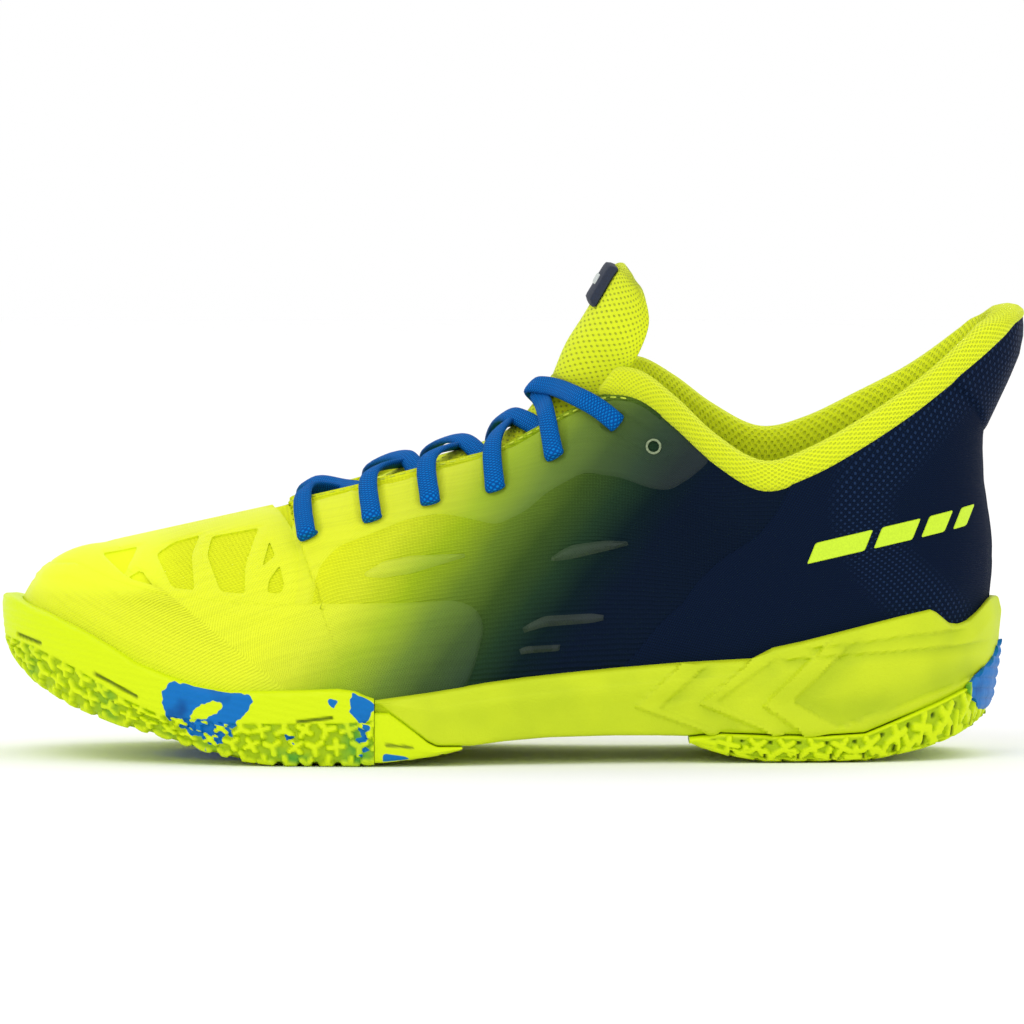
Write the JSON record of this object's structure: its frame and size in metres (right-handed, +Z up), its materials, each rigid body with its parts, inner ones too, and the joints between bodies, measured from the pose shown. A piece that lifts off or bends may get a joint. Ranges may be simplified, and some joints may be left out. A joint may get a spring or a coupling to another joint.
{
  "type": "court shoe",
  "caption": "Low-cut racket-sport court shoe, left foot: knit upper with welded films, padded collar, laced tongue, facetted foam midsole and rubber cup outsole that flexes at the ball",
  "frame": {"origin": "on the ground under the middle of the bounding box", "axes": "+X from toe to heel, +Y from the lateral to the medial side of this left shoe, +Z up"},
  "size_m": [0.2962, 0.112, 0.1423],
  "materials": {
    "blue_lace": "flat woven lace",
    "blue_rubber": "satin rubber",
    "board": "non-woven lasting board",
    "clear_plastic": "clear plastic tip",
    "cushion": "soft foam",
    "green_film": "frosted thermoplastic film",
    "green_knit": "ribbed knit, dyed from lime to navy",
    "label": "matt label",
    "lime_film": "frosted thermoplastic film",
    "lime_foam": "matt moulded foam",
    "lime_knit": "ribbed knit",
    "lime_mesh": "spacer mesh over foam",
    "lime_rubber": "satin moulded rubber",
    "navy_knit": "close knit with raised dots",
    "stiffener": "thermoplastic sheet"
  },
  "bodies": {
    "rear": {"aglet_1": "clear_plastic", "aglet_2": "clear_plastic", "blade_a_lateral": "green_film", "blade_a_medial": "green_film", "blade_b_lateral": "green_film", "blade_b_medial": "green_film", "blade_c_lateral": "green_film", "blade_c_medial": "green_film", "blade_d_lateral": "green_film", "blade_d_medial": "green_film", "board_rear": "board", "collar_foam": "cushion", "collar_lining": "lime_mesh", "collar_roll": "lime_mesh", "eyestay_film_lateral": "green_film", "eyestay_film_medial": "green_film", "heel_counter": "stiffener", "heel_cushion": "cushion", "heel_insert": "blue_rubber", "heel_mark": "label", "heel_panel": "navy_knit", "lace": "blue_lace", "midsole_rear": "lime_foam", "outsole_heel": "lime_rubber", "outsole_midfoot": "lime_rubber", "quarter_lateral": "green_knit", "quarter_medial": "green_knit", "rand_film_lateral": "green_film", "rand_film_medial": "green_film", "shank_plate": "stiffener", "sockliner_rear": "lime_mesh", "tongue_lower": "lime_mesh", "vamp_flex": "lime_knit"},
    "forefoot": {"board_front": "board", "forefoot_cushion": "cushion", "midsole_forefoot": "lime_foam", "outsole_forefoot": "lime_rubber", "rand_film_front": "lime_film", "sockliner_front": "lime_mesh", "toe_box_knit": "lime_knit", "toe_puff": "stiffener", "toe_web_film": "lime_film"},
    "tongue_top": {"tongue_upper": "lime_mesh", "tongue_label": "label"}
  },
  "joints": [
    {"name": "toe_flex", "type": "hinge", "parent": "rear", "child": "forefoot", "pos_m": [-0.047, 0, 0.017], "axis": [0, 1, 0], "range_deg": [0, 30], "stiffness_Nm_per_rad": 6, "deforming": ["vamp_flex"]},
    {"name": "tongue_fold", "type": "hinge", "parent": "rear", "child": "tongue_top", "pos_m": [0.0115, 0, 0.11], "axis": [0, -1, 0], "range_deg": [0, 40], "stiffness_Nm_per_rad": 0.12}
  ]
}
